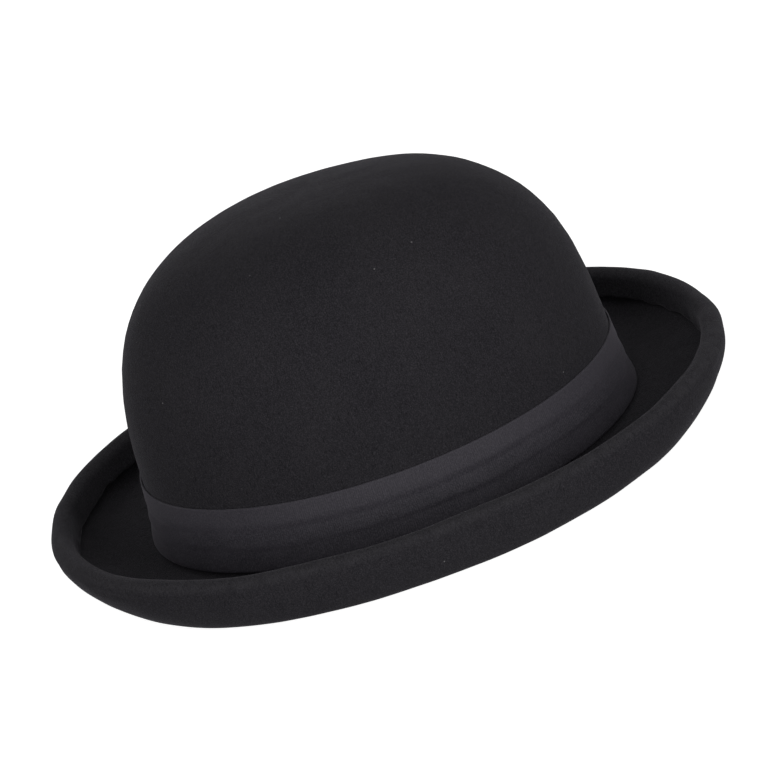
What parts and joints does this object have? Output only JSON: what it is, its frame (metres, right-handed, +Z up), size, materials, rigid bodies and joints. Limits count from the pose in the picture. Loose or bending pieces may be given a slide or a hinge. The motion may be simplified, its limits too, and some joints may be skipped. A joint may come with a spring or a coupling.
{
  "type": "bowler hat",
  "caption": "Black wool-felt bowler hat with a domed crown, ribbon band with a flat side bow, curled brim with a rolled edge, sweatband and lining.",
  "frame": {"origin": "middle of the hat's plan, on the plane that the underside of the brim rests on", "axes": "+Z up through the top of the crown, -Y to the front of the hat, +X to the wearer's left, where the bow is"},
  "size_m": [0.2632, 0.2922, 0.123],
  "materials": {
    "felt": "matte black wool felt with a short nap",
    "ribbon": "black ribbon, dull sheen",
    "sweatband_leather": "dark brown-black smooth leather",
    "lining_satin": "black satin",
    "reed": "black plastic reed",
    "wire": "spring steel wire",
    "ferrule": "crimped brass tube",
    "label_tape": "off-white woven tape, blank"
  },
  "bodies": {
    "hat": {"felt_body": "felt", "brim_wire": "wire", "brim_wire_ferrule": "ferrule", "hat_band": "ribbon", "bow_rear_loop": "ribbon", "bow_front_loop": "ribbon", "bow_knot": "ribbon", "sweatband": "sweatband_leather", "sweatband_reed": "reed", "sweatband_bow": "ribbon", "lining_wall": "lining_satin", "lining_tip": "lining_satin", "lining_piping": "lining_satin", "size_label": "label_tape"},
    "care_label_flap": {"care_label": "label_tape"}
  },
  "joints": [
    {"name": "care_label_fold", "type": "hinge", "parent": "hat", "child": "care_label_flap", "pos_m": [-0.08062, 0, 0.035], "axis": [0, -1, 0], "range_deg": [0, 150]}
  ]
}
